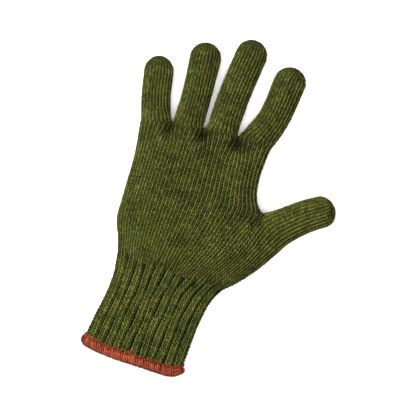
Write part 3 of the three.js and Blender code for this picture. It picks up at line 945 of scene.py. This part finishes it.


# Colour stops are picked fleck by fleck, and tints darken them: slow patches, painted shade of depth
# and of the plies' grooves, and painted light towards the thumb
def marl(name, stops, fleck, shade, rough, deep=None, ply=0, groove="#8c8c8c", gloss=0.12, paler=False):
    mat = bpy.data.materials.new(name)
    mat.use_nodes = True
    tree = mat.node_tree
    shader = tree.nodes["Principled BSDF"]
    place = addNode(tree, "ShaderNodeTexCoord").outputs["Object"]
    if ply:
        phase, base = yarnPlace(tree, ply)
        fleckScale = (1 / (fibre["fleckLong"] * fleck), fibre["flecksAcross"], 1.0)
        streakScale = (fibre["streaksAlong"], fibre["streaksAcross"], 1.0)
    else:
        base = place
        fleckScale = (perMetre(fleck), perMetre(fleck), 1.0)
        streakScale = (perMetre(fibre["streakSize"]), perMetre(fibre["streakSize"]), 1.0)
    flecks = addNode(tree, "ShaderNodeVectorMath", {"operation": "MULTIPLY", 1: fleckScale}, {0: base})
    hairs = addNode(tree, "ShaderNodeVectorMath", {"operation": "MULTIPLY", 1: streakScale}, {0: base})
    stray = addNode(tree, "ShaderNodeTexNoise", {"Scale": 1.3, "Detail": 2.0}, {"Vector": flecks})
    push = addNode(tree, "ShaderNodeVectorMath", {"operation": "ADD"},
                   {0: stray.outputs["Color"], 1: flecks})
    cells = addNode(tree, "ShaderNodeTexVoronoi", {"Scale": 1.0}, {"Vector": push})
    pick = addNode(tree, "ShaderNodeSeparateColor", {}, {"Color": cells.outputs["Color"]})
    slow = addNode(tree, "ShaderNodeTexNoise", {"Scale": perMetre(fibre["patch"]), "Detail": 3.0},
                   {"Vector": place}).outputs["Fac"]
    patch = addNode(tree, "ShaderNodeMath", {"operation": "MULTIPLY_ADD", 1: fibre["patchy"],
                                             2: -fibre["patchy"] / 2}, {0: slow})
    shifted = addNode(tree, "ShaderNodeMath", {"operation": "ADD"}, {0: pick, 1: patch})
    color = addNode(tree, "ShaderNodeValToRGB", {"stops": stops}, {"Fac": shifted})
    patches = [(0.3, shade[0]), (0.7, shade[1])]
    tints = [addNode(tree, "ShaderNodeValToRGB", {"stops": patches}, {"Fac": slow})]
    if deep:
        tints.append(paintedDeepShade(tree, *deep))
    if paler:
        tints.append(paintedThumbLight(tree, place))
    streaks = addNode(tree, "ShaderNodeTexNoise", {"Scale": 1.0, "Detail": 2.0},
                      {"Vector": hairs}).outputs["Fac"]
    relief = addNode(tree, "ShaderNodeBump", {"Strength": 0.8, "Distance": fibre["streakDeep"] * mm},
                     {"Height": streaks})
    if ply:
        lobes = plyShape(tree, phase)
        # painted shade: the grooves between the plies and between the streaks of fibres are darkened in
        # the colour, where their bumps lie low
        grooves = [(0.0, groove), (0.45, "#ffffff")]
        between = [(0.35, "#b8b4b0"), (0.6, "#ffffff")]
        tints.append(addNode(tree, "ShaderNodeValToRGB", {"stops": grooves}, {"Fac": lobes}))
        tints.append(addNode(tree, "ShaderNodeValToRGB", {"stops": between}, {"Fac": streaks}))
        cords = addNode(tree, "ShaderNodeBump", {"Strength": 1.0, "Distance": fibre["plyDeep"] * mm},
                        {"Height": lobes})
        tree.links.new(cords.outputs["Normal"], relief.inputs["Normal"])
    for tint in tints:
        color = addNode(tree, "ShaderNodeMix", {"data_type": "RGBA", "blend_type": "MULTIPLY", 0: 1.0},
                        {6: color, 7: tint}).outputs[2]
    tree.links.new(color, shader.inputs["Base Color"])
    tree.links.new(relief.outputs["Normal"], shader.inputs["Normal"])
    shader.inputs["Roughness"].default_value = rough
    shader.inputs["Sheen Weight"].default_value = fibre["sheen"]
    shader.inputs["Sheen Roughness"].default_value = fibre["sheenRough"]
    shader.inputs["IOR"].default_value = fibre["ior"]
    shader.inputs["Specular IOR Level"].default_value = gloss
    return mat


# Marled olive wool, carded from mixed dyes: what the eye takes for one green is dark, yellow, grey and
# rust flecks of half a millimetre, on a yarn whose plies cross it every 1.35 mm
woolFinish = {
    "stops": [(0.0, "#444f29"), (0.15, "#535e29"), (0.5, "#667331"), (0.8, "#7a8936"),
              (0.92, "#92a046"), (0.965, "#846d35"), (1.0, "#a07034")],
    "fleck": 0.52,
    "shade": ("#d6cab6", "#ffffff"),
    "rough": 0.92,
    "deep": (-0.4, 1.05),  # the depths where the painted shade is full and where it ends
    "ply": 1.35,
    "gloss": 0.05,
    # painted light towards the thumb
    "paler": True,
}
# The same wool in the cuff, where it lies looser: darker, with painted shade deep between the ribs
ribFinish = {
    "stops": [(0.0, "#414920"), (0.15, "#495121"), (0.5, "#545e25"), (0.8, "#616b28"),
              (0.92, "#778235"), (0.965, "#665a28"), (1.0, "#7f5f28")],
    "fleck": 0.5,
    "shade": ("#cfcfcf", "#ffffff"),
    "rough": 0.92,
    "deep": (-0.4, 1.05),
    "ply": 1.45,
    "gloss": 0.05,
}
# Its loose fibres: single hairs, each of one colour, that blur the edges of the loops
fuzzFinish = {
    "stops": [(0.0, "#414814"), (0.7, "#5f6622"), (1.0, "#7a7c46")],
    "fleck": 3.0,
    "shade": ("#e0e0e0", "#ffffff"),
    "rough": 0.9,
}
# The inside of the knitted wool, painted near black as shade because no light reaches it: it reads as
# dark holes between the loops
groundShadeFinish = {
    "stops": [(0.0, "#111508"), (0.6, "#191e0a"), (1.0, "#21200f")],
    "fleck": 1.3,
    "shade": ("#d8d8d8", "#ffffff"),
    "rough": 0.95,
}
# Overlocking thread of rust wool, wound tight: a warm orange brown, a little glossier than the knit,
# with painted shade on each thread's flanks and lighter painted shade in its grooves
rustFinish = {
    "stops": [(0.0, "#88371b"), (0.5, "#a14324"), (0.9, "#b85836"), (1.0, "#754327")],
    "fleck": 0.8,
    "shade": ("#d0c8c4", "#ffffff"),
    "rough": 0.8,
    "deep": (-0.3, 0.5),
    "ply": 1.6,
    "groove": "#c4c4c4",
    "gloss": 0.1,
}
wool = marl("marled_wool", **woolFinish)
ribWool = marl("rib_wool", **ribFinish)
fuzzWool = marl("fuzz_wool", **fuzzFinish)
groundShadeWool = marl("ground_wool_shade", **groundShadeFinish)
rust = marl("rust_thread", **rustFinish)


def finish(item, mat, slot, *nodes):  # its material, the body it rides and what it replaces; the slot argument is not used
    item.data.materials.append(mat)
    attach(item, "root")
    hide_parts(*nodes)


finish(pieces["cuff_knit"], ribWool, "rib_wool", "cuff")
finish(pieces["hand_knit"], wool, "wool", "hand")
finish(pieces["hand_knit_under"], wool, "wool", "hand")
finish(pieces["ground"], groundShadeWool, "wool", "hand")
finish(pieces["fuzz"], fuzzWool, "wool", "hand")
finish(pieces["edge"], rust, "edge_thread", "cuff_edge")
for name in names:
    finish(pieces[name + "_knit"], wool, "wool", name)
print("finishes ready")

# Floor and light

studio = {
    "floorSize": 6,
    "floorColor": "#fbfbfa",
    "floorRough": 0.9,
    "around": 0.6,         # the strength of the even white light from all round
    "lights": {            # place and width in metres, and power
        "key": ((-1.3, 0.45, 0.95), 0.9, 80),
        "fill": ((1.3, -0.8, 1.1), 1.1, 17),
        "overhead": ((0, 0, 1.6), 2.0, 34),
    },
}

bpy.ops.mesh.primitive_plane_add(size=studio["floorSize"])
floor = bpy.context.object
floor.name = "floor"
floorMat = bpy.data.materials.new("matt_paper")  # a sheet of white paper, even and without a shine
floorMat.use_nodes = True
paper = floorMat.node_tree.nodes["Principled BSDF"]
paper.inputs["Base Color"].default_value = linear(studio["floorColor"])
paper.inputs["Roughness"].default_value = studio["floorRough"]
floor.data.materials.append(floorMat)


def softbox(name, place, size, power):  # a round soft light that faces the glove
    data = bpy.data.lights.new(name, "AREA")
    data.shape = "DISK"
    data.size = size
    data.energy = power
    item = bpy.data.objects.new(name, data)
    bpy.context.scene.collection.objects.link(item)
    item.location = place
    item.rotation_euler = (-Vector(place)).to_track_quat("-Z", "Y").to_euler()


for name, light in studio["lights"].items():
    softbox(name, *light)
bpy.context.scene.view_settings.view_transform = "Standard"
world = bpy.data.worlds.new("world")
world.use_nodes = True
world.node_tree.nodes["Background"].inputs["Color"].default_value = (1, 1, 1, 1)
world.node_tree.nodes["Background"].inputs["Strength"].default_value = studio["around"]
bpy.context.scene.world = world
print("floor and light ready")
